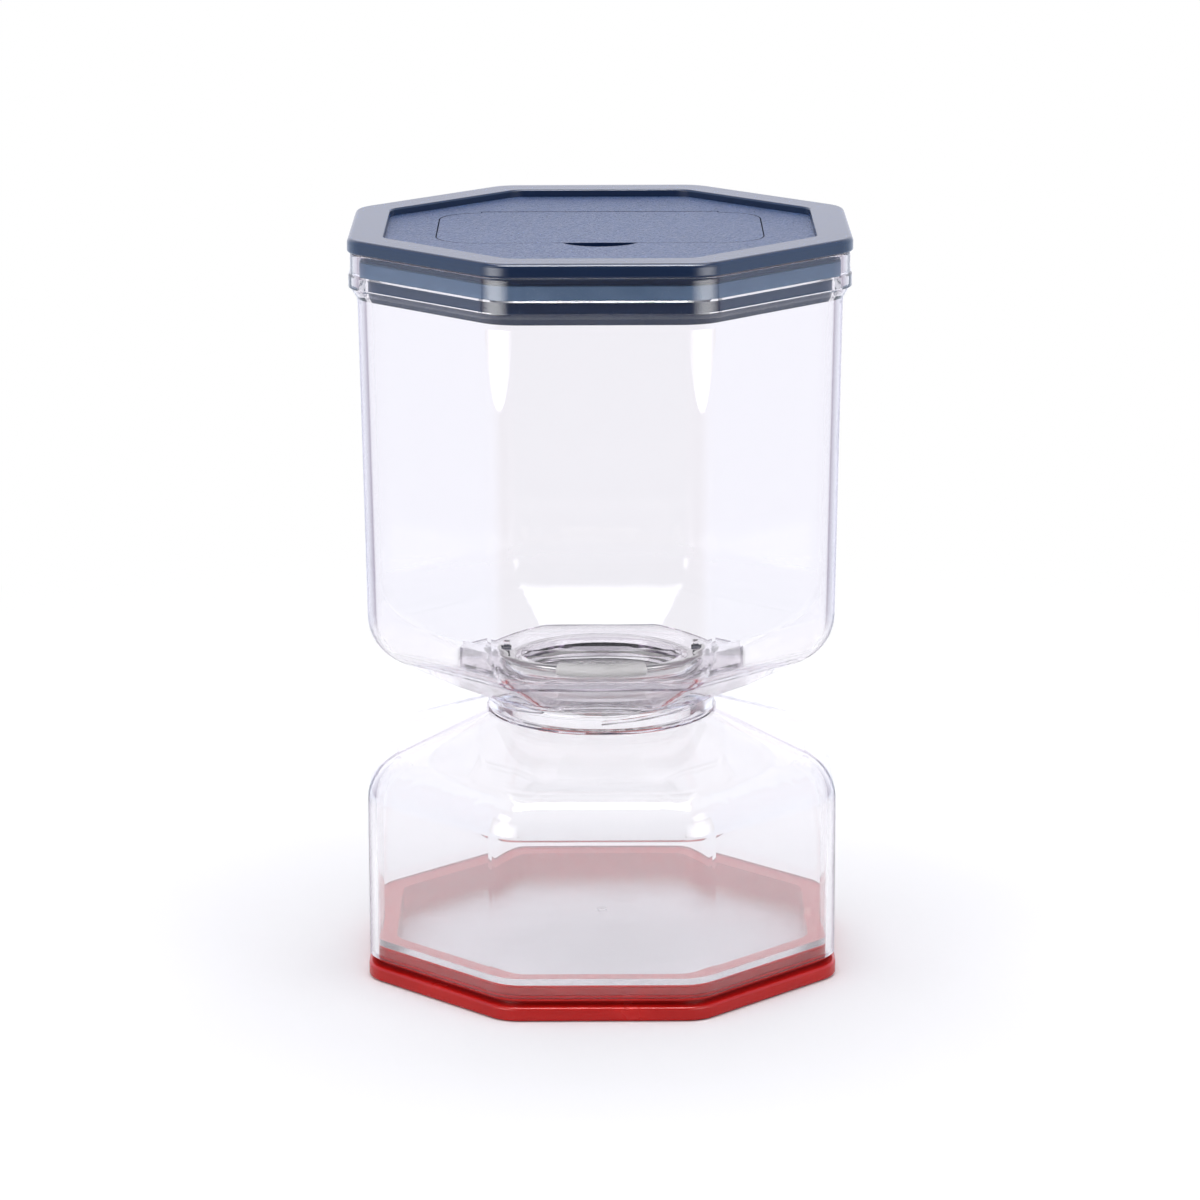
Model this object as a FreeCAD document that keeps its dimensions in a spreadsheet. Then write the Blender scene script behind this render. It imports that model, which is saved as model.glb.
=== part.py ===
import FreeCAD, Part
import math
import os
import re
import Sketcher
from FreeCAD import Rotation, Vector

# Hourglass pickle keeper: a clear octagonal jar over a clear octagonal reservoir, joined at a
# round quarter-turn neck, with a strainer that lifts out, a lid with a covered fork tray and a
# base ring that plugs into the reservoir. Millimetres; +Z up; origin under the middle of the base.

doc = FreeCAD.newDocument("PickleKeeper")
sheet = doc.addObject("Spreadsheet::Sheet", "Sizes")

# Heights ending in _low and _top are levels above the table. A name ending in _half is half a
# width across flats, from the upright axis to a flat face.
SIZES = (
    ("wall", 2.1),
    ("wall_corner", 12),
    ("rim_corner", 10),
    ("slide_gap", 0.3),
    ("touch_gap", 0.05),
    ("overlap", 1),
    # base ring and its seal
    ("base_half", 59.95),
    ("base_top", 3.7),
    ("base_edge", 0.8),
    ("groove_half", 56.5),
    ("ledge_half", 58.5),
    ("ledge_low", 5),
    ("ledge_top", 5.8),
    ("plug_half", 57.3),
    ("plug_top", 8.85),
    ("plug_corner", 9.6),
    ("base_mouth_half", 52),
    ("base_mouth_corner", 7),
    ("foot_rim", 2),
    ("foot_groove_depth", 1.2),
    ("base_slot_low", 6.25),
    ("base_slot_top", 8.35),
    ("base_slot_half", 56.15),
    ("base_seal_half", 57.35),
    ("base_seal_edge", 0.3),
    # clear floor of the reservoir
    ("floor_top", 10.6),
    ("gate_radius", 1.3),
    ("gate_dimple", 0.7),
    ("gate_height", 0.3),
    # reservoir
    ("reservoir_half", 59.7),
    ("reservoir_low", 5.9),
    ("shoulder_low", 46.6),
    ("shoulder_round", 11.7),
    ("shoulder_slope", 20),
    ("shoulder_corner", 15),
    ("shoulder_top_half", 29.6),
    ("shoulder_top_corner", 27),
    ("shoulder_top", 65.75),
    ("land_radius", 29.2),
    ("land_top", 66.2),
    ("neck_radius", 25.2),
    ("neck_bore", 23.1),
    ("neck_bore_corner", 22.8),
    ("neck_top", 73),
    # four-start quarter-turn thread
    ("thread_lead", 12),
    ("thread_rise", 1.9),
    ("thread_root", 1.0),
    ("thread_tip", 0.6),
    ("thread_sink", 0.2),
    ("neck_thread_low", 69.2),
    ("neck_thread_tip", 26.55),
    ("socket_thread_low", 67.7),
    ("socket_thread_tip", 25.55),
    # neck seal
    ("neck_seal_bore", 23.5),
    ("neck_seal_radius", 26.5),
    ("neck_seal_top", 74.2),
    # jar
    ("socket_radius", 29.2),
    ("socket_low", 66.6),
    ("socket_bore", 26.9),
    ("socket_top", 74.25),
    ("grip_rib", 0.35),
    ("grip_rib_low", 69.5),
    ("grip_rib_height", 0.7),
    ("funnel_foot_half", 29.3),
    ("funnel_foot_corner", 28.3),
    ("funnel_foot", 70.7),
    ("crease_half", 37.75),
    ("crease_low", 75.2),
    ("crease_corner", 4),
    ("jar_floor_half", 36.45),
    ("jar_floor", 76.85),
    ("jar_floor_corner", 3),
    ("jar_bore", 23.2),
    ("funnel_low_corner", 8),
    ("funnel_slope", 29.2),
    ("funnel_round", 14),
    ("jar_low_half", 59.05),
    ("jar_low", 95.25),
    ("jar_top_half", 60.35),
    ("jar_top", 175),
    ("collar_half", 62.05),
    ("collar_low", 179.2),
    ("collar_top", 187.95),
    ("collar_edge", 0.7),
    ("step_low_half", 60.5),
    ("step_low", 176.4),
    ("step_high_half", 61.8),
    ("step_high", 178.6),
    ("bead_half", 62.5),
    ("bead_low", 178.9),
    ("bead_top", 182.6),
    ("bead_edge", 0.4),
    # strainer
    ("strainer_half", 35.5),
    ("strainer_corner", 3.4),
    ("strainer_low", 76.95),
    ("strainer_top", 78.4),
    ("bowl_radius", 22.6),
    ("bowl_bore", 20.8),
    ("bowl_low", 69.5),
    ("bowl_ledge", 70.5),
    ("bowl_mouth", 19.2),
    ("flange_rib", 0.8),
    ("flange_rib_radius", 22.8),
    ("mesh_radius", 20.6),
    ("mesh_thickness", 0.6),
    ("mesh_hole", 1.1),
    ("mesh_pitch", 3.4),
    ("mesh_field", 16.5),
    ("retainer_bore", 18.8),
    ("retainer_radius", 20.7),
    ("retainer_height", 1.5),
    ("bail_radius", 28.4),
    ("bail_wire", 1.2),
    ("bail_level", 80.8),
    ("bail_pin_end", 24),
    ("ear_inner", 24.6),
    ("ear_width", 2),
    ("ear_radius", 2.4),
    ("ear_hole", 1.25),
    ("grip_radius", 2.2),
    ("grip_angle", 44),
    # lid
    ("lid_half", 62.7),
    ("lid_low", 188.1),
    ("lid_top", 191.6),
    ("lid_edge", 1.2),
    ("lid_low_edge", 0.6),
    ("panel_edge", 0.5),
    ("panel_half", 53.75),
    ("panel_corner", 6),
    ("panel_top", 189.7),
    ("panel_low", 187.6),
    ("scoop_radius", 10.5),
    ("scoop_centre", 15.3),
    # fork-tray cover and its hinge
    ("cover_side", 40.85),
    ("cover_front", 19.9),
    ("cover_back", 26.9),
    ("cover_corner", 10),
    ("cover_gap", 0.3),
    ("cover_back_gap", 0.45),
    ("cover_low", 187.9),
    ("cover_rib", 1.2),
    ("cover_rib_depth", 2),
    ("cover_rib_inset", 4),
    ("hinge_back", 28.1),
    ("hinge_level", 188.9),
    ("hinge_lip", 1.1),
    ("barrel_radius", 0.9),
    ("barrel_end", 30.3),
    ("pin_hole_depth", 3.2),
    ("pin_radius", 0.45),
    ("pin_gap", 0.05),
    ("pin_seat", 0.02),
    ("pin_end", 33.6),
    # lid liner with the fork tray, and the lid seal
    ("flange_half", 59),
    ("flange_low", 186),
    ("liner_half", 56.8),
    ("liner_wall", 2),
    ("liner_low", 175.8),
    ("liner_corner", 9.6),
    ("liner_edge", 0.6),
    ("liner_bead_half", 57.4),
    ("liner_bead_low", 180.9),
    ("liner_bead_top", 181.9),
    ("tray_side", 39.3),
    ("tray_front", 18.4),
    ("tray_back", 29.85),
    ("tray_corner", 6),
    ("tray_floor", 177.6),
    ("tray_wall", 1.6),
    ("lid_seal_bore_half", 56.85),
    ("lid_seal_half", 59.7),
    ("lid_seal_low", 181.95),
    ("lid_seal_top", 185.9),
    ("lid_seal_edge", 0.4),
)
NAMES = {name for name, _ in SIZES}
for row, (name, value) in enumerate(SIZES, start=1):
    sheet.set(f"A{row}", name)
    sheet.set(f"B{row}", str(value))
    sheet.setAlias(f"B{row}", name)
doc.recompute()

UP = Vector(0, 0, 1)
SIDES = 8
HALF_SIDE_ANGLE = math.radians(180 / SIDES)
ROUND_STEPS = 6
THREAD_STARTS = 4


def size(expression):
    """The number an expression over the spreadsheet's names gives now."""
    return float(sheet.evalExpression(expression))


def sized(text):
    """An expression written with bare size names, made to read them from the spreadsheet."""
    return re.sub(r"[a-z_]+", lambda word: f"Sizes.{word[0]}" if word[0] in NAMES else word[0], text)


def bind(obj, path, text):
    obj.setExpression(path, sized(text))


def new_body(label):
    body = doc.addObject("PartDesign::Body", label)
    body.Label = label
    return body


def plane(body, role):
    return next(item for item in body.Origin.OriginFeatures if item.Role == role)


def new_sketch(body, name, level, role="XY_Plane"):
    """A sketch on one of the body's own planes, moved along that plane's normal to a level."""
    sketch = body.newObject("Sketcher::SketchObject", name)
    sketch.AttachmentSupport = (plane(body, role), "")
    sketch.MapMode = "FlatFace"
    bind(sketch, "AttachmentOffset.Base.z", level)
    return sketch


def hold(sketch, name, text, kind, *where):
    """A named dimension of a sketch, driven by the spreadsheet."""
    index = sketch.addConstraint(Sketcher.Constraint(kind, *where, size(sized(text))))
    sketch.renameConstraint(index, name)
    bind(sketch, f".Constraints.{name}", text)


def octagon(sketch, half, corner, tag=""):
    """A regular octagon with rounded corners, one flat facing +X."""
    first = sketch.GeometryCount
    reach, bend = size(sized(half)), size(sized(corner))
    along = (reach - bend) * math.tan(HALF_SIDE_ANGLE)
    for k in range(SIDES):
        turn = Rotation(UP, 360 / SIDES * k)
        start = turn.multVec(Vector(reach, -along, 0))
        end = turn.multVec(Vector(reach, along, 0))
        centre = turn.multVec(Vector(reach - bend, along, 0))
        sketch.addGeometry(Part.LineSegment(start, end))
        circle = Part.Circle(centre, UP, bend)
        sketch.addGeometry(Part.ArcOfCircle(circle, 2 * k * HALF_SIDE_ANGLE, 2 * (k + 1) * HALF_SIDE_ANGLE))
    for k in range(SIDES):
        line, arc = first + 2 * k, first + 2 * k + 1
        following = first + (2 * k + 2) % (2 * SIDES)
        sketch.addConstraint(Sketcher.Constraint("Tangent", line, 2, arc, 1))
        sketch.addConstraint(Sketcher.Constraint("Tangent", arc, 2, following, 1))
        if k:
            sketch.addConstraint(Sketcher.Constraint("Equal", first + 1, arc))
        if k % 4 == 0:
            sketch.addConstraint(Sketcher.Constraint("Vertical", line))
        elif k % 4 == 2:
            sketch.addConstraint(Sketcher.Constraint("Horizontal", line))
        else:
            heading = (45 * k + 270) % 360 - 180
            sketch.addConstraint(Sketcher.Constraint("Angle", line, math.radians(heading)))
        hold(sketch, f"half{tag}{k}", half, "Distance", -1, 1, line)
    hold(sketch, f"corner{tag}", corner, "Radius", first + 1)


def disc(sketch, radius, tag="", x="0", y="0"):
    """A circle of the given radius, held at (x, y)."""
    index = sketch.GeometryCount
    centre = Vector(size(sized(x)), size(sized(y)), 0)
    sketch.addGeometry(Part.Circle(centre, UP, size(sized(radius))))
    hold(sketch, f"x{tag}", x, "DistanceX", -1, 1, index, 3)
    hold(sketch, f"y{tag}", y, "DistanceY", -1, 1, index, 3)
    hold(sketch, f"radius{tag}", radius, "Radius", index)


def panel(sketch, side, front, back, corner):
    """A rounded rectangle, symmetric about the Y axis, from -front to +back."""
    x, y0, y1, bend = (size(sized(text)) for text in (side, f"-({front})", back, corner))
    first = sketch.GeometryCount
    runs = (
        ((-x + bend, y0), (x - bend, y0), (x - bend, y0 + bend), -90),
        ((x, y0 + bend), (x, y1 - bend), (x - bend, y1 - bend), 0),
        ((x - bend, y1), (-x + bend, y1), (-x + bend, y1 - bend), 90),
        ((-x, y1 - bend), (-x, y0 + bend), (-x + bend, y0 + bend), 180),
    )
    for start, end, centre, angle in runs:
        sketch.addGeometry(Part.LineSegment(Vector(*start, 0), Vector(*end, 0)))
        circle = Part.Circle(Vector(*centre, 0), UP, bend)
        sketch.addGeometry(Part.ArcOfCircle(circle, math.radians(angle), math.radians(angle + 90)))
    for k in range(4):
        line, arc, following = first + 2 * k, first + 2 * k + 1, first + (2 * k + 2) % 8
        sketch.addConstraint(Sketcher.Constraint("Tangent", line, 2, arc, 1))
        sketch.addConstraint(Sketcher.Constraint("Tangent", arc, 2, following, 1))
        sketch.addConstraint(Sketcher.Constraint(("Horizontal", "Vertical")[k % 2], line))
        if k:
            sketch.addConstraint(Sketcher.Constraint("Equal", first + 1, arc))
    hold(sketch, "front", front, "Distance", -1, 1, first)
    hold(sketch, "right", side, "Distance", -1, 1, first + 2)
    hold(sketch, "back", back, "Distance", -1, 1, first + 4)
    hold(sketch, "left", side, "Distance", -1, 1, first + 6)
    hold(sketch, "bend", corner, "Radius", first + 1)


def outline(sketch, points):
    """A closed outline of straight lines through points given as pairs of expressions."""
    first = sketch.GeometryCount
    corners = [Vector(size(sized(x)), size(sized(y)), 0) for x, y in points]
    count = len(corners)
    for k in range(count):
        sketch.addGeometry(Part.LineSegment(corners[k], corners[(k + 1) % count]))
    for k in range(count):
        sketch.addConstraint(Sketcher.Constraint("Coincident", first + k, 2, first + (k + 1) % count, 1))
    for k, (x, y) in enumerate(points):
        hold(sketch, f"x{k}", x, "DistanceX", -1, 1, first + k, 1)
        hold(sketch, f"y{k}", y, "DistanceY", -1, 1, first + k, 1)


def pad(body, name, sketch, length):
    """Adds the sketch's area along its normal."""
    feature = body.newObject("PartDesign::Pad", name)
    feature.Profile = sketch
    bind(feature, "Length", length)
    sketch.Visibility = False
    return feature


def cut(body, name, sketch, length):
    """Takes the sketch's area away along its normal, and makes sure that something went."""
    doc.recompute()
    before = body.Shape.Volume
    feature = body.newObject("PartDesign::Pocket", name)
    feature.Profile = sketch
    feature.Reversed = True
    bind(feature, "Length", length)
    doc.recompute()
    if not body.Shape.Volume < before - 1e-3:
        states = [(item.Name, item.State) for item in body.Group if "Up-to-date" not in item.State]
        raise RuntimeError(f"{body.Label}: {name} cuts nothing; {states}")
    return feature


def octagon_pad(body, name, half, corner, low, top):
    sketch = new_sketch(body, f"{name}_plan", low)
    octagon(sketch, half, corner)
    return pad(body, name, sketch, f"({top}) - ({low})")


def octagon_cut(body, name, half, corner, low, top):
    sketch = new_sketch(body, f"{name}_plan", low)
    octagon(sketch, half, corner)
    return cut(body, name, sketch, f"({top}) - ({low})")


def disc_pad(body, name, radius, low, top):
    sketch = new_sketch(body, f"{name}_plan", low)
    disc(sketch, radius)
    return pad(body, name, sketch, f"({top}) - ({low})")


def disc_cut(body, name, radius, low, top):
    sketch = new_sketch(body, f"{name}_plan", low)
    disc(sketch, radius)
    return cut(body, name, sketch, f"({top}) - ({low})")


def stack(body, name, kind, sections, ruled=True):
    """A loft through octagons, each given as (half, corner, level); ruled means straight sides."""
    plans = []
    for number, (half, corner, level) in enumerate(sections):
        plan = new_sketch(body, f"{name}_{number}", level)
        octagon(plan, half, corner)
        plans.append(plan)
    loft = body.newObject(kind, name)
    loft.Profile = plans[0]
    loft.Sections = plans[1:]
    loft.Ruled = ruled
    return loft


def across_flats(point):
    """Half the width across flats of the upright octagon that passes through a point."""
    angles = [2 * k * HALF_SIDE_ANGLE for k in range(SIDES)]
    return max(point.x * math.cos(angle) + point.y * math.sin(angle) for angle in angles)


def round_edges(body, name, radius, level, half):
    """Rounds the level edges that run along an octagon of the given half width."""
    doc.recompute()
    base = body.Tip
    height, wanted = size(sized(level)), size(sized(half))
    picked = []
    for number, edge in enumerate(base.Shape.Edges, start=1):
        middle = edge.valueAt((edge.FirstParameter + edge.LastParameter) / 2)
        points = [vertex.Point for vertex in edge.Vertexes] + [middle]
        if all(abs(p.z - height) < 1e-4 and abs(across_flats(p) - wanted) < 1 for p in points):
            picked.append(f"Edge{number}")
    feature = body.newObject("PartDesign::Fillet", name)
    feature.Base = (base, picked)
    bind(feature, "Radius", radius)
    return feature


def thread(body, name, wall, tip, low):
    """Short helical ridges from a round wall to their tip radius, spaced evenly round it."""
    inwards = size(sized(wall)) > size(sized(tip))
    foot = f"{wall} {'+' if inwards else '-'} thread_sink"
    profile = new_sketch(body, f"{name}_profile", "0", "XZ_Plane")
    outline(profile, (
        (foot, low),
        (tip, f"{low} + (thread_root - thread_tip) / 2"),
        (tip, f"{low} + (thread_root + thread_tip) / 2"),
        (foot, f"{low} + thread_root"),
    ))
    doc.recompute()
    ridge = body.newObject("PartDesign::AdditiveHelix", name)
    ridge.Profile = profile
    ridge.ReferenceAxis = (profile, ["V_Axis"])
    ridge.Mode = 0
    bind(ridge, "Pitch", "thread_lead")
    bind(ridge, "Height", "thread_rise")
    doc.recompute()
    starts = body.newObject("PartDesign::PolarPattern", f"{name}_starts")
    starts.Originals = [ridge]
    starts.Axis = (plane(body, "Z_Axis"), [""])
    starts.Angle = 360
    starts.Occurrences = THREAD_STARTS
    body.Tip = starts
    doc.recompute()


# ---- base ring: rim on the table, ledge under the reservoir wall, plug with a slot, its seal ----


def make_base_ring():
    body = new_body("base_ring")
    octagon_pad(body, "rim", "base_half", "rim_corner", "0", "base_top")
    octagon_pad(body, "groove", "groove_half", "rim_corner", "base_top", "ledge_low")
    octagon_pad(body, "ledge", "ledge_half", "rim_corner", "ledge_low", "ledge_top")
    octagon_pad(body, "plug_foot", "plug_half", "plug_corner", "ledge_top", "base_slot_low")
    octagon_pad(body, "slot_bed", "base_slot_half", "plug_corner", "base_slot_low", "base_slot_top")
    octagon_pad(body, "plug_head", "plug_half", "plug_corner", "base_slot_top", "plug_top")
    octagon_cut(body, "mouth", "base_mouth_half", "base_mouth_corner", "0", "plug_top")
    round_edges(body, "top_edge", "base_edge", "base_top", "base_half")
    round_edges(body, "foot_edge", "base_edge", "0", "base_half")
    groove = new_sketch(body, "foot_groove_plan", "0")
    octagon(groove, "ledge_half - foot_rim", "rim_corner", "_out")
    octagon(groove, "base_mouth_half + foot_rim", "base_mouth_corner", "_in")
    cut(body, "foot_groove", groove, "foot_groove_depth")
    return body


def make_base_seal():
    body = new_body("base_seal")
    low, top = "base_slot_low + touch_gap", "base_slot_top - touch_gap"
    octagon_pad(body, "band", "base_seal_half", "plug_corner", low, top)
    octagon_cut(body, "bore", "base_slot_half + touch_gap", "plug_corner", low, top)
    round_edges(body, "low_edge", "base_seal_edge", low, "base_seal_half")
    round_edges(body, "top_edge", "base_seal_edge", top, "base_seal_half")
    return body


# ---- clear floor that lies on the plug, with its moulding gate mark ----


def make_floor_plate():
    body = new_body("floor_plate")
    octagon_pad(body, "plate", "plug_half", "plug_corner", "plug_top + touch_gap", "floor_top")
    disc_pad(body, "gate", "gate_radius", "floor_top", "floor_top + gate_height")
    disc_cut(body, "gate_dimple", "gate_dimple", "floor_top", "floor_top + gate_height")
    return body


# ---- reservoir: open-bottomed clear octagon with a rounded, sloping shoulder and threaded neck ----


def shoulder_sections(inset):
    """The shoulder's round, as sections up to where the slope begins; inset goes inwards."""
    sections = []
    for step in range(ROUND_STEPS + 1):
        angle = f"((90 - shoulder_slope) * {step} / {ROUND_STEPS})"
        half = f"reservoir_half - shoulder_round + (shoulder_round - {inset}) * cos({angle})"
        level = f"shoulder_low + (shoulder_round - {inset}) * sin({angle})"
        corner = f"wall_corner - {inset} + (shoulder_corner - wall_corner) * {step} / {ROUND_STEPS}"
        sections.append((half, corner, level))
    return sections


def make_lower_chamber():
    body = new_body("lower_chamber")
    octagon_pad(body, "wall", "reservoir_half", "wall_corner", "reservoir_low", "shoulder_low")
    round_out = shoulder_sections("0")
    stack(body, "round_out", "PartDesign::AdditiveLoft", round_out, ruled=False)
    slope_top = ("shoulder_top_half", "shoulder_top_corner", "shoulder_top")
    stack(body, "slope_out", "PartDesign::AdditiveLoft", [round_out[-1], slope_top])
    disc_pad(body, "land", "land_radius", "shoulder_top - overlap", "land_top")
    disc_pad(body, "neck", "neck_radius", "land_top - overlap", "neck_top")
    octagon_cut(body, "bore", "reservoir_half - wall", "wall_corner - wall", "reservoir_low",
                "shoulder_low")
    round_in = shoulder_sections("wall")
    stack(body, "round_in", "PartDesign::SubtractiveLoft", round_in, ruled=False)
    drop = "wall / cos(shoulder_slope)"
    slope_end = ("neck_bore", "neck_bore_corner",
                 f"shoulder_top - {drop} + (shoulder_top_half - neck_bore) * tan(shoulder_slope)")
    stack(body, "slope_in", "PartDesign::SubtractiveLoft", [round_in[-1], slope_end])
    disc_cut(body, "throat", "neck_bore", "shoulder_top - 2 * overlap", "neck_top")
    thread(body, "neck_thread", "neck_radius", "neck_thread_tip", "neck_thread_low")
    return body


def make_neck_seal():
    body = new_body("neck_seal")
    disc_pad(body, "ring", "neck_seal_radius", "neck_top + touch_gap", "neck_seal_top")
    disc_cut(body, "bore", "neck_seal_bore", "neck_top + touch_gap", "neck_seal_top")
    return body


# ---- jar: threaded socket, funnel, drafted walls, and a stepped collar for the lid ----


def funnel_sections(inset):
    """The funnel's round, as sections from the slope up to the wall; inset goes inwards."""
    sections = []
    for step in range(ROUND_STEPS, -1, -1):
        angle = f"((90 - funnel_slope) * {step} / {ROUND_STEPS})"
        half = f"jar_low_half - funnel_round + (funnel_round - {inset}) * cos({angle})"
        level = f"jar_low - (funnel_round - {inset}) * sin({angle})"
        corner = f"wall_corner - {inset} + (funnel_low_corner - wall_corner) * {step} / {ROUND_STEPS}"
        sections.append((half, corner, level))
    return sections


def make_upper_chamber():
    body = new_body("upper_chamber")
    round_out = funnel_sections("0")
    stack(body, "slope_out", "PartDesign::AdditiveLoft", [
        ("funnel_foot_half", "funnel_foot_corner", "funnel_foot"),
        ("crease_half", "crease_corner", "crease_low"),
        round_out[0],
    ])
    stack(body, "round_out", "PartDesign::AdditiveLoft", round_out, ruled=False)
    stack(body, "wall_out", "PartDesign::AdditiveLoft", [
        round_out[-1],
        ("jar_top_half", "wall_corner", "jar_top"),
        ("step_low_half", "wall_corner", "step_low"),
        ("step_high_half", "wall_corner", "step_high"),
        ("collar_half", "wall_corner", "collar_low"),
    ])
    octagon_pad(body, "collar", "collar_half", "wall_corner", "collar_low", "collar_top")
    round_edges(body, "collar_rim", "collar_edge", "collar_top", "collar_half")
    stack(body, "bead", "PartDesign::AdditiveLoft", [
        ("bead_half - bead_edge", "wall_corner", "bead_low"),
        ("bead_half", "wall_corner", "bead_low + bead_edge"),
        ("bead_half", "wall_corner", "bead_top - bead_edge"),
        ("bead_half - bead_edge", "wall_corner", "bead_top"),
    ])
    disc_pad(body, "socket", "socket_radius", "socket_low", "crease_low")
    round_in = funnel_sections("wall")
    stack(body, "slope_in", "PartDesign::SubtractiveLoft", [
        ("jar_floor_half", "jar_floor_corner", "jar_floor"),
        round_in[0],
    ])
    stack(body, "round_in", "PartDesign::SubtractiveLoft", round_in, ruled=False)
    stack(body, "wall_in", "PartDesign::SubtractiveLoft", [
        round_in[-1],
        ("jar_top_half - wall", "wall_corner - wall", "jar_top"),
        ("step_low_half - wall", "wall_corner - wall", "step_low"),
        ("step_high_half - wall", "wall_corner - wall", "step_high"),
        ("collar_half - wall", "wall_corner - wall", "collar_low"),
        ("collar_half - wall", "wall_corner - wall", "collar_top"),
    ])
    disc_cut(body, "throat", "jar_bore", "socket_low", "jar_floor + overlap")
    disc_cut(body, "socket_bore", "socket_bore", "socket_low", "socket_top")
    rib = new_sketch(body, "grip_rib_plan", "grip_rib_low")
    disc(rib, "socket_radius + grip_rib", "_out")
    disc(rib, "socket_radius - grip_rib", "_in")
    pad(body, "grip_rib", rib, "grip_rib_height")
    thread(body, "socket_thread", "socket_bore", "socket_thread_tip", "socket_thread_low")
    return body


# ---- strainer: octagonal flange on the jar floor, bowl in the neck, perforated disc, lift bail ----


def make_strainer_frame():
    body = new_body("strainer_frame")
    octagon_pad(body, "flange", "strainer_half", "strainer_corner", "strainer_low", "strainer_top")
    disc_pad(body, "bowl", "bowl_radius", "bowl_low", "strainer_top")
    rib = new_sketch(body, "rib_plan", "strainer_top")
    disc(rib, "flange_rib_radius", "_out")
    disc(rib, "bowl_bore", "_in")
    pad(body, "rib", rib, "flange_rib")
    disc_cut(body, "bowl_mouth", "bowl_mouth", "bowl_low", "strainer_top")
    disc_cut(body, "bowl_bore", "bowl_bore", "bowl_ledge", "strainer_top")
    for side, start in (("right", "ear_inner"), ("left", "-ear_inner - ear_width")):
        foot = new_sketch(body, f"ear_{side}_plan", start, "YZ_Plane")
        outline(foot, (
            ("-ear_radius", "strainer_low"),
            ("ear_radius", "strainer_low"),
            ("ear_radius", "bail_level"),
            ("-ear_radius", "bail_level"),
        ))
        pad(body, f"ear_{side}", foot, "ear_width")
        crown = new_sketch(body, f"crown_{side}_plan", start, "YZ_Plane")
        disc(crown, "ear_radius", "", "0", "bail_level")
        pad(body, f"crown_{side}", crown, "ear_width")
        eye = new_sketch(body, f"eye_{side}_plan", start, "YZ_Plane")
        disc(eye, "ear_hole", "", "0", "bail_level")
        cut(body, f"eye_{side}", eye, "ear_width")
    return body


def hole_places(pitch, reach):
    """Centres of a field of staggered rows whose distance from the middle is at most reach."""
    rows = math.ceil(2 * reach / pitch)
    places = []
    for row in range(-rows, rows + 1):
        for column in range(-rows, rows + 1):
            spot = Vector((column + row / 2) * pitch, row * math.sqrt(3) / 2 * pitch, 0)
            if spot.Length <= reach:
                places.append(spot)
    return places


def make_strainer_mesh():
    """A thin steel disc with round holes in staggered rows."""
    body = new_body("strainer_mesh")
    disc_pad(body, "disc", "mesh_radius", "bowl_ledge", "bowl_ledge + mesh_thickness")
    holes = new_sketch(body, "hole_plan", "bowl_ledge")
    for index, spot in enumerate(hole_places(size("Sizes.mesh_pitch"), size("Sizes.mesh_field"))):
        holes.addGeometry(Part.Circle(spot, UP, size("Sizes.mesh_hole")))
        if index:
            holes.addConstraint(Sketcher.Constraint("Equal", 0, index))
        else:
            hold(holes, "hole", "mesh_hole", "Radius", 0)
    cut(body, "holes", holes, "mesh_thickness")
    return body


def make_mesh_retainer():
    body = new_body("mesh_retainer")
    low = "bowl_ledge + mesh_thickness"
    disc_pad(body, "ring", "retainer_radius", low, f"{low} + retainer_height")
    disc_cut(body, "bore", "retainer_bore", low, f"{low} + retainer_height")
    return body


def primitive(kind, name, sizes, level="0", turn=None):
    """A Part primitive with its sizes bound, lifted to a level and optionally turned."""
    obj = doc.addObject(kind, name)
    for prop, text in sizes.items():
        bind(obj, prop, text)
    if turn is not None:
        obj.Placement.Rotation = turn
    bind(obj, "Placement.Base.z", level)
    return obj


def make_lift_bail():
    """Half ring of wire, folded flat to the front, with its two ends turned in as pivots."""
    half_ring = {"Radius1": "bail_radius", "Radius2": "bail_wire", "Angle3": "180"}
    arch = primitive("Part::Torus", "bail_arch", half_ring, "bail_level", Rotation(UP, 180))
    pieces = [arch]
    for side, axis in (("right", Vector(-1, 0, 0)), ("left", Vector(1, 0, 0))):
        end = "bail_radius" if side == "right" else "-bail_radius"
        turn = Rotation(UP, axis)
        lengths = {"Radius": "bail_wire", "Height": "bail_radius - bail_pin_end"}
        pivot = primitive("Part::Cylinder", f"bail_pivot_{side}", lengths, "bail_level", turn)
        bind(pivot, "Placement.Base.x", end)
        elbow = primitive("Part::Sphere", f"bail_elbow_{side}", {"Radius": "bail_wire"}, "bail_level")
        bind(elbow, "Placement.Base.x", end)
        pieces += [pivot, elbow]
    bail = doc.addObject("Part::MultiFuse", "lift_bail")
    bail.Shapes = pieces
    bail.Label = "lift_bail"
    return bail


def make_bail_grip():
    """Moulded sleeve on the middle of the bail."""
    turn = Rotation(UP, 270 - size("Sizes.grip_angle") / 2)
    shell = {"Radius1": "bail_radius", "Radius2": "grip_radius", "Angle3": "grip_angle"}
    core = {"Radius1": "bail_radius", "Radius2": "bail_wire", "Angle3": "grip_angle"}
    grip = doc.addObject("Part::Cut", "bail_grip")
    grip.Base = primitive("Part::Torus", "grip_shell", shell, "bail_level", turn)
    grip.Tool = primitive("Part::Torus", "grip_core", core, "bail_level", turn)
    grip.Label = "bail_grip"
    return grip


# ---- lid: shell with a recessed panel, liner with the fork tray, band seal ----


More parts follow.
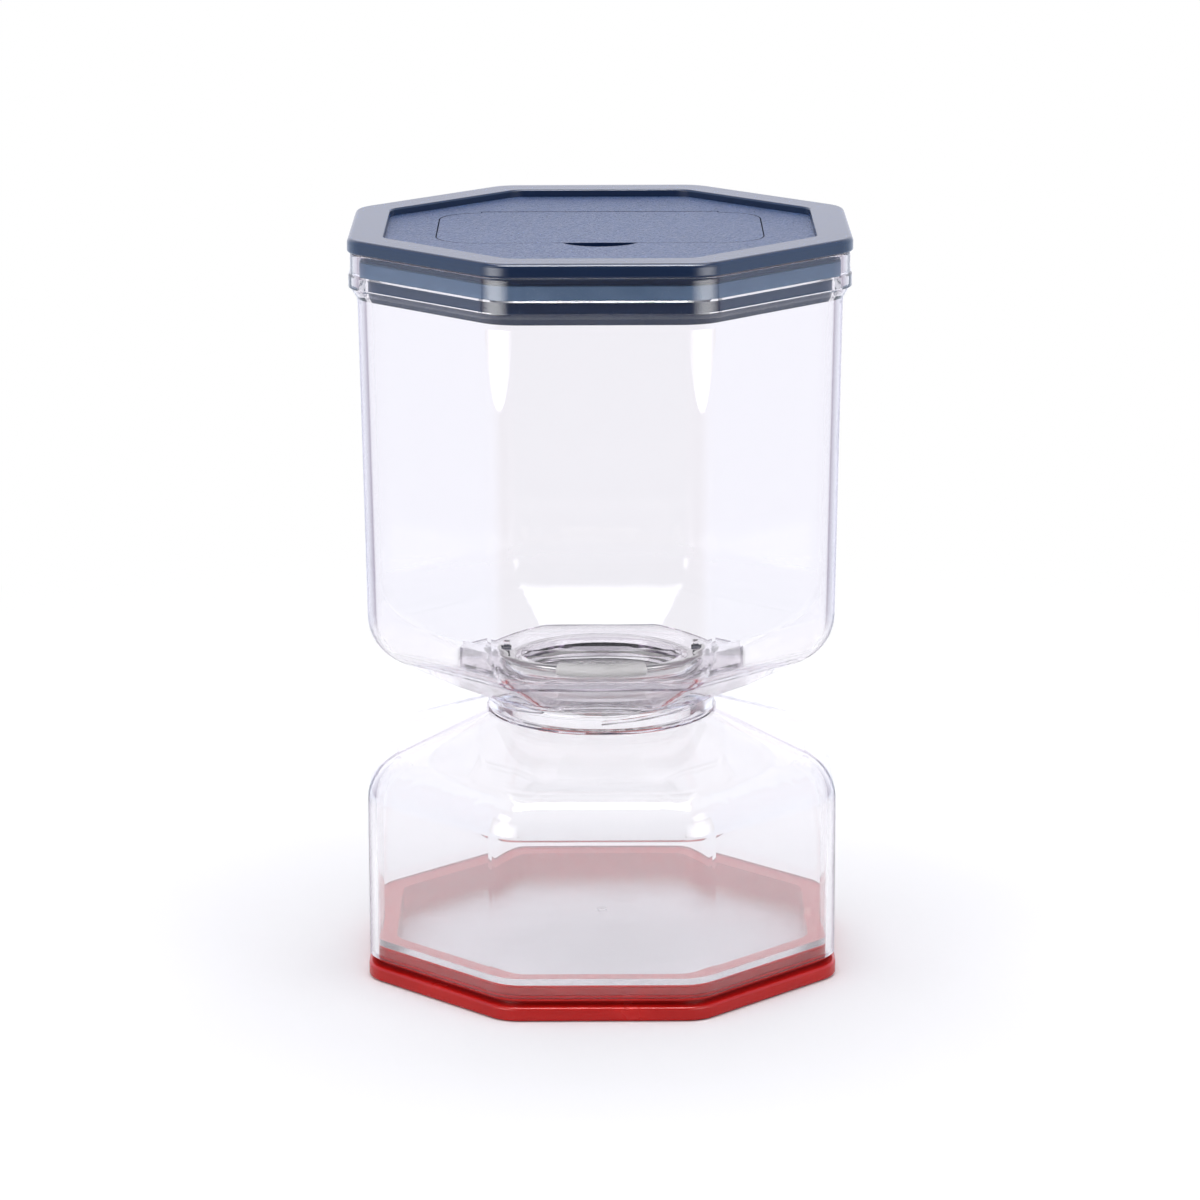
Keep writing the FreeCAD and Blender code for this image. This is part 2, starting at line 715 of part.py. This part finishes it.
def make_lid_shell():
    body = new_body("lid_shell")
    octagon_pad(body, "rim", "lid_half", "rim_corner", "lid_low", "lid_top")
    octagon_pad(body, "underside", "flange_half", "rim_corner", "panel_low", "lid_low")
    octagon_cut(body, "recess", "panel_half", "panel_corner", "panel_top", "lid_top")
    round_edges(body, "top_edge", "lid_edge", "lid_top", "lid_half")
    round_edges(body, "inner_edge", "panel_edge", "lid_top", "panel_half")
    round_edges(body, "low_edge", "lid_low_edge", "lid_low", "lid_half")
    opening = new_sketch(body, "opening_plan", "panel_low")
    panel(opening, "cover_side + cover_gap", "cover_front + cover_gap", "cover_back + cover_back_gap",
          "cover_corner + cover_gap")
    cut(body, "opening", opening, "lid_top - panel_low")
    tab = new_sketch(body, "tab_opening_plan", "panel_low")
    outline(tab, (
        ("-barrel_end - cover_gap", "cover_back - overlap"),
        ("barrel_end + cover_gap", "cover_back - overlap"),
        ("barrel_end + cover_gap", "hinge_back + hinge_lip"),
        ("-barrel_end - cover_gap", "hinge_back + hinge_lip"),
    ))
    cut(body, "tab_opening", tab, "lid_top - panel_low")
    scoop = new_sketch(body, "scoop_plan", "panel_low")
    disc(scoop, "scoop_radius", "", "0", "-scoop_centre")
    cut(body, "scoop", scoop, "lid_top - panel_low")
    for side, start in (
        ("right", "barrel_end + cover_gap"),
        ("left", "-barrel_end - cover_gap - pin_hole_depth"),
    ):
        hole = new_sketch(body, f"pin_hole_{side}_plan", start, "YZ_Plane")
        disc(hole, "pin_radius + pin_seat", "", "hinge_back", "hinge_level")
        cut(body, f"pin_hole_{side}", hole, "pin_hole_depth")
    return body


def make_lid_liner():
    body = new_body("lid_liner")
    octagon_pad(body, "skirt", "liner_half", "liner_corner", "liner_low", "flange_low")
    octagon_pad(body, "flange", "flange_half", "rim_corner", "flange_low", "panel_low")
    octagon_pad(body, "bead", "liner_bead_half", "liner_corner", "liner_bead_low", "liner_bead_top")
    hollow = new_sketch(body, "hollow_plan", "liner_low")
    octagon(hollow, "liner_half - liner_wall", "liner_corner - liner_wall")
    panel(hollow, "tray_side + tray_wall", "tray_front + tray_wall", "tray_back + tray_wall",
          "tray_corner + tray_wall")
    cut(body, "hollow", hollow, "flange_low - liner_low")
    tray = new_sketch(body, "tray_plan", "tray_floor")
    panel(tray, "tray_side", "tray_front", "tray_back", "tray_corner")
    cut(body, "tray", tray, "panel_low - tray_floor")
    round_edges(body, "skirt_edge", "liner_edge", "liner_low", "liner_half")
    return body


def make_lid_seal():
    body = new_body("lid_seal")
    octagon_pad(body, "band", "lid_seal_half", "liner_corner", "lid_seal_low", "lid_seal_top")
    octagon_cut(body, "bore", "lid_seal_bore_half", "liner_corner", "lid_seal_low", "lid_seal_top")
    round_edges(body, "low_edge", "lid_seal_edge", "lid_seal_low", "lid_seal_half")
    round_edges(body, "top_edge", "lid_seal_edge", "lid_seal_top", "lid_seal_half")
    return body


# ---- fork-tray cover: flush plate whose barrel turns on a pin held in the panel of the lid ----


def make_compartment_cover():
    body = new_body("compartment_cover")
    plate = new_sketch(body, "plate_plan", "cover_low")
    panel(plate, "cover_side", "cover_front", "cover_back", "cover_corner")
    pad(body, "plate", plate, "panel_top - cover_low")
    rib = new_sketch(body, "rib_plan", "cover_low - cover_rib_depth")
    panel(rib, "cover_side - cover_rib_inset", "cover_front - cover_rib_inset",
          "cover_back - cover_rib_inset", "cover_corner - cover_rib_inset")
    pad(body, "rib", rib, "cover_rib_depth")
    inner = new_sketch(body, "rib_inner_plan", "cover_low - cover_rib_depth")
    inset = "cover_rib_inset + cover_rib"
    panel(inner, f"cover_side - ({inset})", f"cover_front - ({inset})", f"cover_back - ({inset})",
          f"cover_corner - ({inset})")
    cut(body, "rib_inner", inner, "cover_rib_depth")
    tab = new_sketch(body, "tab_plan", "cover_low")
    outline(tab, (
        ("-barrel_end", "cover_back - overlap"),
        ("barrel_end", "cover_back - overlap"),
        ("barrel_end", "hinge_back"),
        ("-barrel_end", "hinge_back"),
    ))
    pad(body, "tab", tab, "panel_top - cover_low")
    barrel = new_sketch(body, "barrel_plan", "-barrel_end", "YZ_Plane")
    disc(barrel, "barrel_radius", "", "hinge_back", "hinge_level")
    pad(body, "barrel", barrel, "2 * barrel_end")
    flat = new_sketch(body, "barrel_flat_plan", "panel_top")
    outline(flat, (
        ("-barrel_end", "hinge_back - barrel_radius"),
        ("barrel_end", "hinge_back - barrel_radius"),
        ("barrel_end", "hinge_back + barrel_radius"),
        ("-barrel_end", "hinge_back + barrel_radius"),
    ))
    cut(body, "barrel_flat", flat, "overlap")
    bore = new_sketch(body, "pin_bore_plan", "-barrel_end", "YZ_Plane")
    disc(bore, "pin_radius + pin_gap", "", "hinge_back", "hinge_level")
    cut(body, "pin_bore", bore, "2 * barrel_end")
    return body


def make_cover_hinge_pin():
    lengths = {"Radius": "pin_radius", "Height": "2 * pin_end"}
    pin = primitive("Part::Cylinder", "cover_hinge_pin", lengths, "hinge_level",
                    Rotation(UP, Vector(1, 0, 0)))
    bind(pin, "Placement.Base.x", "-pin_end")
    bind(pin, "Placement.Base.y", "hinge_back")
    pin.Label = "cover_hinge_pin"
    return pin


PIECES = (
    make_base_ring(),
    make_base_seal(),
    make_floor_plate(),
    make_lower_chamber(),
    make_neck_seal(),
    make_upper_chamber(),
    make_strainer_frame(),
    make_strainer_mesh(),
    make_mesh_retainer(),
    make_lift_bail(),
    make_bail_grip(),
    make_lid_shell(),
    make_lid_liner(),
    make_lid_seal(),
    make_compartment_cover(),
    make_cover_hinge_pin(),
)
doc.recompute()

for obj in doc.Objects:
    if "Invalid" in obj.State or "Error" in obj.State:
        raise RuntimeError(f"{obj.Label}: {obj.State}")
os.makedirs("parts", exist_ok=True)
for piece in PIECES:
    shape = piece.Shape
    if shape.isNull() or not shape.isValid():
        raise RuntimeError(f"{piece.Label} has no valid shape")
    if len(shape.Solids) != 1:
        raise RuntimeError(f"{piece.Label} has {len(shape.Solids)} solids")
    box = shape.BoundBox
    print(f"{piece.Label}: {shape.Volume:.0f} mm3, x {box.XMin:.2f}..{box.XMax:.2f}, "
          f"y {box.YMin:.2f}..{box.YMax:.2f}, z {box.ZMin:.2f}..{box.ZMax:.2f}")
    shape.exportStep(f"parts/{piece.Label}.step")
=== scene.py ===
import math

import bmesh
import bpy
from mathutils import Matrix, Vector

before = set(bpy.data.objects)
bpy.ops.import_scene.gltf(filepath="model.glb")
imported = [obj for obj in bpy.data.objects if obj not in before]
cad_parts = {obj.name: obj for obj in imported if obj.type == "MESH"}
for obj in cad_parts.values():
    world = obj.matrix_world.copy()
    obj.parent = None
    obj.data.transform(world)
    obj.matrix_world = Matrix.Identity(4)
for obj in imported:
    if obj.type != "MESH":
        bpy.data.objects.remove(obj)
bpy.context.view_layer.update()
scene = bpy.context.scene
scene.view_settings.view_transform = "Standard"
# Light that is caught inside a clear wall turns many times before it comes out.
WALL_TURNS = 32
scene.cycles.max_bounces = WALL_TURNS
scene.cycles.glossy_bounces = WALL_TURNS
scene.cycles.transmission_bounces = WALL_TURNS

# ---- table and room ----
# A wide white table in front of a white backdrop. Lamps light the table near the keeper; further out
# it glows white by itself, so that it has no horizon. Clear walls and reflections also find the rest of
# the room: bright all round with lilac sides straight through the walls, and dim at the front once a
# surface has turned the light back.
TABLE_RADIUS = 7.0
TABLE_LEVEL = -0.0001
SHADOW_REACH = (0.14, 0.45)
ROOM_FILL = 0.58
PLAIN_WHITE = (1.0, 1.0, 1.0, 1.0)
TABLE_COLOUR = (0.8, 0.8, 0.83, 1.0)
# Each palette of the room: the backdrop, the sides, the front.
ROOM_STRAIGHT = ((1.06, 1.05, 1.09, 1.0), (0.62, 0.56, 0.64, 1.0), (1.0, 0.99, 1.03, 1.0))
ROOM_TURNED = ((1.06, 1.05, 1.09, 1.0), (0.34, 0.27, 0.34, 1.0), (0.1, 0.11, 0.17, 1.0))
ROOM_MIRRORED = ((1.3, 1.32, 1.46, 1.0), (1.2, 1.5, 1.95, 1.0), (0.06, 0.07, 0.09, 1.0))
OVERHEAD_COLOUR = (0.5, 0.48, 0.53, 1.0)
# How steeply a direction rises where the room passes into what is overhead, and how far round from the
# side the backdrop and the front begin and are full.
OVERHEAD_RISE = (0.5, 0.9)
BACKDROP_BEARING = (math.radians(25), math.radians(72))
FRONT_BEARING = (math.radians(-25), math.radians(-50))


def linear(red, green, blue):
    """A screen colour, 0 to 255, as the linear values that shaders take."""
    shares = [value / 255 for value in (red, green, blue)]
    return (*(s / 12.92 if s <= 0.04045 else ((s + 0.055) / 1.055) ** 2.4 for s in shares), 1.0)


def add_node(tree, kind, **values):
    """A shader node with its inputs set by name; an underscore stands for a space."""
    node = tree.nodes.new("ShaderNode" + kind)
    for name, value in values.items():
        node.inputs[name.replace("_", " ")].default_value = value
    return node


def feed(tree, value, socket):
    """Links a socket to another, or sets it to a plain number."""
    if isinstance(value, bpy.types.NodeSocket):
        tree.links.new(value, socket)
    else:
        socket.default_value = value


def calc(tree, operation, *terms):
    """A maths node over sockets or numbers; gives its output."""
    node = tree.nodes.new("ShaderNodeMath")
    node.operation = operation
    for value, socket in zip(terms, node.inputs):
        feed(tree, value, socket)
    return node.outputs[0]


def remap(tree, value, low, high, to_low, to_high):
    """A value taken from one span to another and held inside it."""
    node = tree.nodes.new("ShaderNodeMapRange")
    for term, socket in zip((value, low, high, to_low, to_high), node.inputs):
        feed(tree, term, socket)
    return node.outputs["Result"]


def new_material(name):
    """A material with only its output; gives the material, its tree and the output."""
    material = bpy.data.materials.new(name)
    material.use_nodes = True
    material.node_tree.nodes.clear()
    return material, material.node_tree, add_node(material.node_tree, "OutputMaterial")


def seen(tree):
    """1 for what the camera sees directly, in a reflection or through glass."""
    path = add_node(tree, "LightPath")
    direct = calc(tree, "MAXIMUM", path.outputs["Is Camera Ray"], path.outputs["Is Glossy Ray"])
    return calc(tree, "MAXIMUM", direct, path.outputs["Is Transmission Ray"])


def tinted(tree, share, colour, other):
    """The first colour, or the other one by the given share."""
    mix = tree.nodes.new("ShaderNodeMix")
    mix.data_type = "RGBA"
    feed(tree, share, mix.inputs["Factor"])
    feed(tree, colour, mix.inputs[6])
    feed(tree, other, mix.inputs[7])
    return mix.outputs[2]


def room_colour(tree, towards):
    """What the room shows in a level direction or at a place, given as a vector from its middle.

    There is a palette for light straight through clear walls, one for light through them that was
    reflected at least once on the way, and one for plain reflections."""
    level = add_node(tree, "SeparateXYZ")
    tree.links.new(towards, level.inputs[0])
    bearing = calc(tree, "ARCTAN2", level.outputs["Y"], calc(tree, "ABSOLUTE", level.outputs["X"]))
    behind = remap(tree, bearing, *BACKDROP_BEARING, 0.0, 1.0)
    before = remap(tree, bearing, *FRONT_BEARING, 0.0, 1.0)
    path = add_node(tree, "LightPath")
    inside = path.outputs["Is Transmission Ray"]
    turned = calc(tree, "GREATER_THAN", path.outputs["Glossy Depth"], 0.5)
    back, side, front = (
        tinted(tree, inside, mirrored, tinted(tree, turned, straight, bent))
        for straight, bent, mirrored in zip(ROOM_STRAIGHT, ROOM_TURNED, ROOM_MIRRORED)
    )
    return tinted(tree, before, tinted(tree, behind, side, back), front)


table_mesh = bpy.data.meshes.new("table")
shape = bmesh.new()
bmesh.ops.create_circle(shape, cap_ends=True, radius=TABLE_RADIUS, segments=96)
shape.to_mesh(table_mesh)
shape.free()
table = bpy.data.objects.new("table", table_mesh)
table.location.z = TABLE_LEVEL
scene.collection.objects.link(table)
white_table, tree, output = new_material("white_table")
spot = add_node(tree, "TexCoord")
reach = tree.nodes.new("ShaderNodeVectorMath")
reach.operation = "LENGTH"
tree.links.new(spot.outputs["Object"], reach.inputs[0])
far = remap(tree, reach.outputs["Value"], *SHADOW_REACH, 0.0, 1.0)
lit = add_node(tree, "BsdfDiffuse", Color=TABLE_COLOUR)
path = add_node(tree, "LightPath")
glow = add_node(tree, "Emission", Strength=1.0)
shown = tinted(tree, path.outputs["Is Camera Ray"], room_colour(tree, spot.outputs["Object"]), PLAIN_WHITE)
feed(tree, shown, glow.inputs["Color"])
blend = add_node(tree, "MixShader")
feed(tree, calc(tree, "MULTIPLY", far, seen(tree)), blend.inputs["Fac"])
tree.links.new(lit.outputs[0], blend.inputs[1])
tree.links.new(glow.outputs[0], blend.inputs[2])
tree.links.new(blend.outputs[0], output.inputs["Surface"])
table_mesh.materials.append(white_table)

world = bpy.data.worlds.new("white_sky")
scene.world = world
world.use_nodes = True
tree = world.node_tree
tree.nodes.clear()
output = add_node(tree, "OutputWorld")
sky = add_node(tree, "TexCoord")
split = add_node(tree, "SeparateXYZ")
tree.links.new(sky.outputs["Generated"], split.inputs[0])
overhead = remap(tree, split.outputs["Z"], *OVERHEAD_RISE, 0.0, 1.0)
around = tinted(tree, overhead, room_colour(tree, sky.outputs["Generated"]), OVERHEAD_COLOUR)
bounced = calc(tree, "SUBTRACT", seen(tree), add_node(tree, "LightPath").outputs["Is Camera Ray"])
backdrop = add_node(tree, "Background")
feed(tree, tinted(tree, bounced, PLAIN_WHITE, around), backdrop.inputs["Color"])
feed(tree, remap(tree, seen(tree), 0.0, 1.0, ROOM_FILL, 1.0), backdrop.inputs["Strength"])
tree.links.new(backdrop.outputs[0], output.inputs["Surface"])

# ---- lamps ----
# One broad lamp overhead and a softbox high on each side. The panels only show in reflections and
# fade towards their edges: two low ones whose glint runs down the rounded corners of the clear walls,
# and one above for the jar's bead.
LAMPS = (
    ("overhead", (0.0, 0.1, 1.5), (1.1, 1.3), 17.0),
    ("left_high", (-1.15, -0.75, 0.95), (0.7, 0.7), 4.0),
    ("right_high", (1.15, -0.75, 0.95), (0.7, 0.7), 3.2),
)
PANELS = (
    ("left_panel", (-0.5, -0.5, 0.12), (0.9, 0.7), 8.5),
    ("right_panel", (0.5, -0.5, 0.12), (0.9, 0.7), 7.2),
    ("bead_panel", (0.0, -0.42, 1.45), (1.4, 0.5), 40.0),
)
PANEL_CORE = 0.1
PANEL_EDGE = 0.5
LAMP_TARGET = Vector((0.0, 0.0, 0.1))


def aim(thing, place):
    """Puts a lamp or panel in its place, turned to the keeper and hidden from the camera."""
    thing.location = place
    thing.rotation_euler = (LAMP_TARGET - thing.location).to_track_quat("-Z", "Y").to_euler()
    thing.visible_camera = False
    scene.collection.objects.link(thing)


for name, place, extent, power in LAMPS:
    light = bpy.data.lights.new(name, "AREA")
    light.shape = "RECTANGLE"
    light.size, light.size_y = extent
    light.energy = power
    aim(bpy.data.objects.new(name, light), place)

for name, place, extent, strength in PANELS:
    sheet = bpy.data.meshes.new(name)
    shape = bmesh.new()
    bmesh.ops.create_grid(shape, x_segments=1, y_segments=1, size=PANEL_EDGE)
    shape.to_mesh(sheet)
    shape.free()
    glowing, tree, output = new_material(name)
    across = add_node(tree, "SeparateXYZ")
    tree.links.new(add_node(tree, "TexCoord").outputs["Object"], across.inputs[0])
    fades = [
        remap(tree, calc(tree, "ABSOLUTE", across.outputs[axis]), PANEL_CORE, PANEL_EDGE, 1.0, 0.0)
        for axis in "XY"
    ]
    glow = add_node(tree, "Emission")
    feed(tree, calc(tree, "MULTIPLY", calc(tree, "MULTIPLY", *fades), strength), glow.inputs["Strength"])
    tree.links.new(glow.outputs[0], output.inputs["Surface"])
    sheet.materials.append(glowing)
    panel = bpy.data.objects.new(name, sheet)
    panel.scale = (*extent, 1.0)
    panel.visible_diffuse = False
    panel.visible_shadow = False
    panel.visible_transmission = False
    aim(panel, place)

# ---- camera ----
# Long lens, a little above the lid, square on to one flat side.
SENSOR = 36.0
FOCAL_SHARE = 4689 / 1200
CAMERA_PLACE = (-0.0003, -1.1702, 0.381)
CAMERA_TILT = math.radians(76.2)
CAMERA_LEAN = math.radians(-0.19)
camera_data = bpy.data.cameras.new("camera")
camera_data.sensor_width = SENSOR
camera_data.sensor_fit = "HORIZONTAL"
camera_data.lens = SENSOR * FOCAL_SHARE
camera = bpy.data.objects.new("camera", camera_data)
camera.location = CAMERA_PLACE
camera.rotation_mode = "ZYX"
camera.rotation_euler = (CAMERA_TILT, 0.0, CAMERA_LEAN)
scene.collection.objects.link(camera)
scene.camera = camera

# ---- base ring ----
# Injection-moulded red ring that plugs into the reservoir: a polished tool gives it a satin gloss
# with a faint orange peel, and the colour clouds a little where the melt flowed.
MOTTLE_SPAN = (0.3, 0.7)
MM_PER_METRE = 1000.0
SATIN_PEEL = 0.00003


def new_group(name, inputs, outputs):
    """A node group with number inputs and outputs; gives its tree, its start and its end."""
    group = bpy.data.node_groups.new(name, "ShaderNodeTree")
    for label, value in inputs.items():
        socket = group.interface.new_socket(label, in_out="INPUT", socket_type="NodeSocketFloat")
        socket.default_value = value
    for label in outputs:
        group.interface.new_socket(label, in_out="OUTPUT", socket_type="NodeSocketFloat")
    return group, group.nodes.new("NodeGroupInput"), group.nodes.new("NodeGroupOutput")


def use_group(tree, group, **values):
    """Places a node group in a material with its own values."""
    node = tree.nodes.new("ShaderNodeGroup")
    node.node_tree = group
    for name, value in values.items():
        node.inputs[name.replace("_", " ")].default_value = value
    return node


def millimetres(tree):
    """The point on the piece, in millimetres from the origin of the frame."""
    spot = add_node(tree, "TexCoord")
    scale = tree.nodes.new("ShaderNodeVectorMath")
    scale.operation = "SCALE"
    scale.inputs["Scale"].default_value = MM_PER_METRE
    tree.links.new(spot.outputs["Object"], scale.inputs[0])
    return scale.outputs[0]


def cloud(tree, place, size, detail=2.0):
    """Noise whose features are about size millimetres wide."""
    noise = add_node(tree, "TexNoise", Detail=detail)
    tree.links.new(place, noise.inputs["Vector"])
    feed(tree, calc(tree, "DIVIDE", 1.0, size), noise.inputs["Scale"])
    return noise.outputs["Fac"]


moulded, start, end = new_group("moulded", {"Peel": 1.2, "Flow": 18.0}, ("Height", "Mottle"))
place = millimetres(moulded)
feed(moulded, cloud(moulded, place, start.outputs["Peel"]), end.inputs["Height"])
feed(moulded, cloud(moulded, place, start.outputs["Flow"], 4.0), end.inputs["Mottle"])


def varied(tree, mottle, low, high):
    """A number that goes from low to high as the mottle does."""
    return remap(tree, mottle, *MOTTLE_SPAN, low, high)


def shaded(tree, mottle, dark, light):
    """A colour that goes between two shades as the mottle goes from low to high."""
    return tinted(tree, varied(tree, mottle, 0.0, 1.0), dark, light)


def bumped(tree, height, strength, distance, shader):
    """Gives a shader a bump of the given height in metres."""
    bump = add_node(tree, "Bump", Strength=strength, Distance=distance)
    tree.links.new(height, bump.inputs["Height"])
    tree.links.new(bump.outputs[0], shader.inputs["Normal"])


def dress(node, material):
    """Puts a material on a carried-over piece, which stays the shape it is."""
    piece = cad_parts[node]
    if not piece.material_slots:
        piece.data.materials.append(material)
    for slot in piece.material_slots:
        slot.material = material


red_plastic, tree, output = new_material("red_plastic")
grain = use_group(tree, moulded, Peel=1.1, Flow=16.0)
shader = add_node(tree, "BsdfPrincipled", IOR=1.5, Specular_IOR_Level=0.3)
feed(tree, shaded(tree, grain.outputs["Mottle"], linear(174, 15, 11), linear(186, 20, 15)),
     shader.inputs["Base Color"])
feed(tree, varied(tree, grain.outputs["Mottle"], 0.2, 0.28), shader.inputs["Roughness"])
bumped(tree, grain.outputs["Height"], 0.25, SATIN_PEEL, shader)
tree.links.new(shader.outputs[0], output.inputs["Surface"])
dress("base_ring", red_plastic)

# ---- seals of the base and the neck, and the bail's grip ----
# Moulded silicone, soft to the light and a little dusty: red in the slot of the plug, natural and
# milky at the neck and as the sleeve on the bail.


def silicone(name, dark, light, through, specular=0.3):
    """Silicone rubber between two shades; through is how much light passes it."""
    material, tree, output = new_material(name)
    grain = use_group(tree, moulded, Peel=0.5, Flow=7.0)
    shader = add_node(tree, "BsdfPrincipled", IOR=1.41, Specular_IOR_Level=specular,
                      Transmission_Weight=through)
    feed(tree, shaded(tree, grain.outputs["Mottle"], dark, light), shader.inputs["Base Color"])
    feed(tree, varied(tree, grain.outputs["Mottle"], 0.38, 0.52), shader.inputs["Roughness"])
    bumped(tree, grain.outputs["Height"], 0.3, SATIN_PEEL, shader)
    tree.links.new(shader.outputs[0], output.inputs["Surface"])
    return material


dress("base_seal", silicone("red_silicone", linear(148, 16, 14), linear(162, 22, 18), 0.0))
natural_silicone = silicone("natural_silicone", linear(226, 226, 222), linear(240, 240, 237), 0.35)
for node in ("neck_seal", "bail_grip"):
    dress(node, natural_silicone)

# ---- reservoir, its floor, and the jar ----
# Clear moulded plastic with a faint lilac cast that shows where a wall is seen along its depth. Its
# faces are polished, with a slow wave left by the flow of the melt.
WALL_WAVE = 0.00002
WALL_CAST = (0.36, 0.22, 0.42, 1.0)
LAMPLIGHT_LEFT = (0.93, 0.93, 0.94, 1.0)


def clear_plastic(name, wave, density, polished, duller):
    """Clear plastic whose faces wave slowly; lamps shine through it, dimmed a little."""
    material, tree, output = new_material(name)
    grain = use_group(tree, moulded, Peel=wave, Flow=30.0)
    shader = add_node(tree, "BsdfPrincipled", Base_Color=PLAIN_WHITE, IOR=1.5, Transmission_Weight=1.0)
    feed(tree, varied(tree, grain.outputs["Mottle"], polished, duller), shader.inputs["Roughness"])
    bumped(tree, grain.outputs["Height"], 1.0, WALL_WAVE, shader)
    inside = add_node(tree, "VolumeAbsorption", Color=WALL_CAST, Density=density)
    tree.links.new(inside.outputs[0], output.inputs["Volume"])
    through = add_node(tree, "BsdfTransparent", Color=LAMPLIGHT_LEFT)
    choose = add_node(tree, "MixShader")
    path = add_node(tree, "LightPath")
    tree.links.new(path.outputs["Is Shadow Ray"], choose.inputs["Fac"])
    tree.links.new(shader.outputs[0], choose.inputs[1])
    tree.links.new(through.outputs[0], choose.inputs[2])
    tree.links.new(choose.outputs[0], output.inputs["Surface"])
    return material


clear_wall = clear_plastic("clear_wall", 18.0, 15.0, 0.0, 0.03)
clear_floor = clear_plastic("clear_floor", 12.0, 1.0, 0.1, 0.16)
dress("floor_plate", clear_floor)
for node in ("lower_chamber", "upper_chamber"):
    dress(node, clear_wall)

# ---- strainer frame and its snap ring ----
# The flange that stands on the jar's floor and the bowl below it are one moulding, of the same clear
# plastic as the jar. The snap ring that holds the punched disc in the bowl is moulded of it too.
for node in ("strainer_frame", "mesh_retainer"):
    dress(node, clear_wall)

# ---- steel: punched disc, bail and hinge pin ----
# The strainer's disc is punched from rolled stainless sheet, which leaves it a fine straight grain. The
# bail and the pin are drawn stainless wire, brighter and smoother, bent and cut to length.
STEEL_LINE_WIDTH = 0.25
STEEL_GRAIN = 0.00001


def steel(name, stretch, low, high):
    """Stainless steel with a grain drawn out along X."""
    material, tree, output = new_material(name)
    place = millimetres(tree)
    draw = tree.nodes.new("ShaderNodeVectorMath")
    draw.operation = "MULTIPLY"
    draw.inputs[1].default_value = (1.0 / stretch, 1.0, 1.0)
    tree.links.new(place, draw.inputs[0])
    lines = cloud(tree, draw.outputs[0], STEEL_LINE_WIDTH, 3.0)
    shader = add_node(tree, "BsdfPrincipled", Metallic=1.0)
    feed(tree, shaded(tree, lines, linear(188, 188, 186), linear(212, 212, 210)),
         shader.inputs["Base Color"])
    feed(tree, varied(tree, lines, low, high), shader.inputs["Roughness"])
    bumped(tree, lines, 0.4, STEEL_GRAIN, shader)
    tree.links.new(shader.outputs[0], output.inputs["Surface"])
    return material


dress("strainer_mesh", steel("rolled_steel", 14.0, 0.22, 0.36))
drawn_steel = steel("drawn_steel", 5.0, 0.14, 0.24)
for node in ("lift_bail", "cover_hinge_pin"):
    dress(node, drawn_steel)

# ---- lid, liner and cover ----
# Navy plastic: smooth satin rim and sides, and a pebbled panel and cover, whose grain was etched
# into the mould; their level faces are coloured a lighter blue-grey, a painted sheen. The liner under
# them, with the skirt and the tray, is a shade lighter.
# Lighter blue-grey painted on the pebbled level faces: a painted sheen for the reflection the grain
# catches.
PEBBLE_PAINTED_SHEEN = linear(40, 60, 98)
PEBBLE_HEIGHT = 0.0004
PEBBLE_SPAN = (0.4, 1.2)
FINE_SHARE = 0.7
LEVEL_ENOUGH = 0.9
PEEL_SHARE = 0.1
pebbled, start, end = new_group("pebbled", {"Size": 0.7, "Level": 190.5}, ("Height", "Mask"))
place = millimetres(pebbled)
cells = add_node(pebbled, "TexVoronoi", Randomness=1.0)
cells.feature = "SMOOTH_F1"
pebbled.links.new(place, cells.inputs["Vector"])
feed(pebbled, calc(pebbled, "DIVIDE", 1.0, start.outputs["Size"]), cells.inputs["Scale"])
fine = cloud(pebbled, place, calc(pebbled, "MULTIPLY", start.outputs["Size"], FINE_SHARE), 2.0)
feed(pebbled, calc(pebbled, "ADD", cells.outputs["Distance"], fine), end.inputs["Height"])
split = add_node(pebbled, "SeparateXYZ")
pebbled.links.new(place, split.inputs[0])
below = calc(pebbled, "LESS_THAN", split.outputs["Z"], start.outputs["Level"])
lean = add_node(pebbled, "SeparateXYZ")
pebbled.links.new(add_node(pebbled, "TexCoord").outputs["Normal"], lean.inputs[0])
upwards = calc(pebbled, "GREATER_THAN", lean.outputs["Z"], LEVEL_ENOUGH)
feed(pebbled, calc(pebbled, "MULTIPLY", below, upwards), end.inputs["Mask"])


def navy_plastic(name, dark, light, smooth, textured):
    """Satin navy plastic, with the pebbled grain on its level faces below the rim, which are coloured
    lighter as a painted sheen.
    """
    material, tree, output = new_material(name)
    grain = use_group(tree, moulded, Peel=1.6, Flow=22.0)
    pebbles = use_group(tree, pebbled)
    shader = add_node(tree, "BsdfPrincipled", IOR=1.5, Specular_IOR_Level=0.45)
    mask = pebbles.outputs["Mask"]
    plain = shaded(tree, grain.outputs["Mottle"], dark, light)
    # The pebbled faces take the painted sheen colour in place of the navy.
    feed(tree, tinted(tree, mask, plain, PEBBLE_PAINTED_SHEEN), shader.inputs["Base Color"])
    etched = remap(tree, pebbles.outputs["Height"], *PEBBLE_SPAN, *textured)
    feed(tree, remap(tree, mask, 0.0, 1.0, smooth, etched), shader.inputs["Roughness"])
    rough = calc(tree, "MULTIPLY", pebbles.outputs["Height"], mask)
    peel = calc(tree, "MULTIPLY", grain.outputs["Height"], PEEL_SHARE)
    bumped(tree, calc(tree, "ADD", rough, peel), 1.0, PEBBLE_HEIGHT, shader)
    tree.links.new(shader.outputs[0], output.inputs["Surface"])
    return material


lid_navy = navy_plastic("lid_navy", linear(9, 30, 61), linear(11, 34, 67), 0.24, (0.2, 0.46))
for node in ("lid_shell", "compartment_cover"):
    dress(node, lid_navy)
dress("lid_liner", navy_plastic("liner_navy", linear(20, 38, 68), linear(25, 45, 77), 0.3, (0.3, 0.4)))

# ---- lid seal ----
# Flat band of blue-grey silicone round the liner, between the lid and the jar's bead. It is moulded as
# one ring, matt and a little dusty.
dress("lid_seal", silicone("blue_silicone", linear(70, 97, 128), linear(80, 106, 137), 0.0, 0.6))
